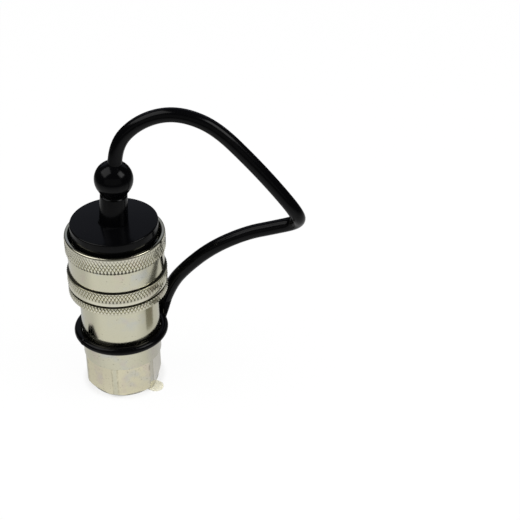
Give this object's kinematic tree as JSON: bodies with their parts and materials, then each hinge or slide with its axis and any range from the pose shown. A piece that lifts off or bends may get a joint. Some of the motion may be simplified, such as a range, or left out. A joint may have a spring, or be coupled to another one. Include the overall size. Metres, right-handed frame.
{
  "type": "hydraulic quick coupler",
  "caption": "Socket half of a hydraulic quick coupler: knurled ball-lock sleeve on a hexagon body, poppet valve inside, dust plug on a strap and a thread protector in its port.",
  "frame": {"origin": "on the coupler's axis, under the thread protector that it stands on", "axes": "+Z along the axis from the hose port to the socket mouth, -Y towards the viewer of the front"},
  "size_m": [0.0904, 0.0376, 0.1226],
  "materials": {
    "zinc_plated_steel": "bright zinc plating, slightly yellow",
    "spring_steel": "drawn wire, oiled",
    "ball_steel": "polished",
    "seal_rubber": "matte",
    "seal_plastic": "matte",
    "black_vinyl": "moulded, semi-matte",
    "milky_plastic": "translucent, soft sheen"
  },
  "bodies": {
    "coupler": {"socket_body": "zinc_plated_steel", "spring_collar": "zinc_plated_steel", "sleeve_snap_ring": "spring_steel", "nipple_seal": "seal_rubber", "backup_ring": "seal_plastic", "sleeve_spring": "spring_steel", "poppet_guide": "zinc_plated_steel", "poppet_spring": "spring_steel", "guide_snap_ring": "spring_steel", "locking_ball_1": "ball_steel", "locking_ball_2": "ball_steel", "locking_ball_3": "ball_steel", "locking_ball_4": "ball_steel", "locking_ball_5": "ball_steel", "locking_ball_6": "ball_steel", "locking_ball_7": "ball_steel", "locking_ball_8": "ball_steel"},
    "sleeve": {"locking_sleeve": "zinc_plated_steel"},
    "valve": {"poppet": "zinc_plated_steel", "poppet_seal": "seal_rubber"},
    "lanyard": {"lanyard_ring": "black_vinyl", "strap": "black_vinyl"},
    "plug": {"dust_plug": "black_vinyl"},
    "protector": {"thread_protector": "milky_plastic"}
  },
  "joints": [
    {"name": "sleeve_slide", "type": "slide", "parent": "coupler", "child": "sleeve", "axis": [0, 0, -1], "range_m": [0, 0.0055], "stiffness_N_per_m": 2500, "springref_m": -0.006, "deforming": ["sleeve_spring"]},
    {"name": "poppet_slide", "type": "slide", "parent": "coupler", "child": "valve", "axis": [0, 0, -1], "range_m": [0, 0.0065], "stiffness_N_per_m": 1200, "springref_m": -0.006, "deforming": ["poppet_spring"]},
    {"name": "lanyard_swivel", "type": "hinge", "parent": "coupler", "child": "lanyard", "pos_m": [0, 0, 0.02433], "axis": [0, 0, 1], "continuous": true},
    {"name": "dust_plug_pull", "type": "slide", "parent": "lanyard", "child": "plug", "axis": [0, 0, 1], "range_m": [0, 0.03], "deforming": ["strap"]},
    {"name": "protector_pull", "type": "slide", "parent": "coupler", "child": "protector", "axis": [0, 0, -1], "range_m": [0, 0.014]}
  ]
}
